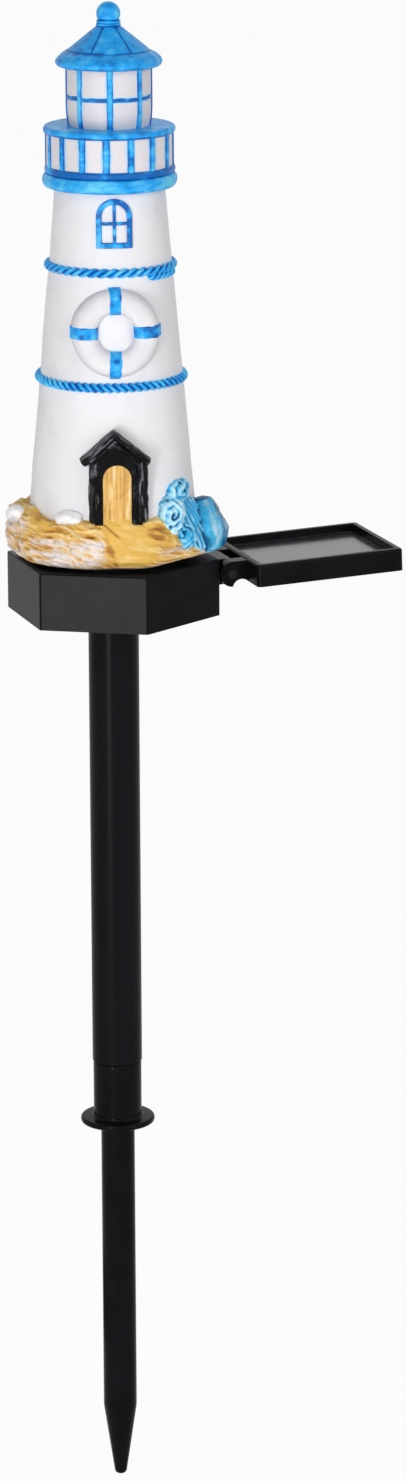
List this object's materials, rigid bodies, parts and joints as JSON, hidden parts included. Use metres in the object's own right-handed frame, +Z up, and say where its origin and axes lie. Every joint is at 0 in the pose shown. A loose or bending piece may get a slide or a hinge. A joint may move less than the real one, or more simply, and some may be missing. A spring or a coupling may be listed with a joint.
{
  "type": "solar path light",
  "caption": "Solar path light: a painted lighthouse on a hexagonal lamp base with a tilting solar panel, a pole tube and a pointed ground stake.",
  "frame": {"origin": "on the pole's axis at the underside of the stake's flange, which is ground level", "axes": "+Z up the pole, +X along the solar panel's arm"},
  "size_m": [0.1254, 0.069, 0.4911],
  "materials": {
    "black_moulding": "satin",
    "black_tube": "satin",
    "black_rubber": "matte",
    "steel": "satin",
    "battery_sleeve": "gloss",
    "board": "satin",
    "ferrite": "matte",
    "clear_lens": "gloss",
    "switch_cap": "matte",
    "silicon": "gloss",
    "clear_sheet": "gloss",
    "white_resin": "matte",
    "ochre_resin": "matte",
    "wave_resin": "satin",
    "black_resin": "satin",
    "door_resin": "satin",
    "blue_resin": "satin",
    "lantern_white": "satin"
  },
  "bodies": {
    "stake": {"ground_stake": "black_moulding", "pole_tube": "black_tube"},
    "head": {"base_housing": "black_moulding", "base_cover": "black_moulding", "cover_gasket": "black_rubber", "cover_screws": "steel", "battery_holder": "black_moulding", "battery": "battery_sleeve", "positive_contact": "steel", "negative_contact": "steel", "circuit_board": "board", "driver_chip": "black_moulding", "inductor": "ferrite", "led": "clear_lens", "led_grommet": "black_rubber", "switch_body": "black_moulding", "hinge_pin": "steel", "tower_shell": "white_resin", "rock_base": "ochre_resin", "shore_stones": "white_resin", "wave": "wave_resin", "porch": "black_resin", "door": "door_resin", "lower_rope": "blue_resin", "life_ring": "white_resin", "life_ring_bands": "blue_resin", "upper_rope": "blue_resin", "window_frame": "blue_resin", "gallery_deck": "blue_resin", "gallery_drum": "white_resin", "gallery_railing": "blue_resin", "lantern_glass": "lantern_white", "lantern_frame": "blue_resin", "roof": "blue_resin", "finial": "blue_resin"},
    "panel": {"panel_tray": "black_moulding", "solar_cell": "silicon", "panel_sheet": "clear_sheet"},
    "button": {"switch_button": "switch_cap"}
  },
  "joints": [
    {"name": "head_swivel", "type": "hinge", "parent": "stake", "child": "head", "pos_m": [0, 0, 0.164], "axis": [0, 0, 1], "continuous": true},
    {"name": "panel_tilt", "type": "hinge", "parent": "head", "child": "panel", "pos_m": [0.0366, 0, 0.1834], "axis": [0, -1, 0], "range_deg": [-92, 43]},
    {"name": "switch_press", "type": "slide", "parent": "head", "child": "button", "axis": [0, 0, 1], "range_m": [0, 0.0015], "stiffness_N_per_m": 250}
  ]
}
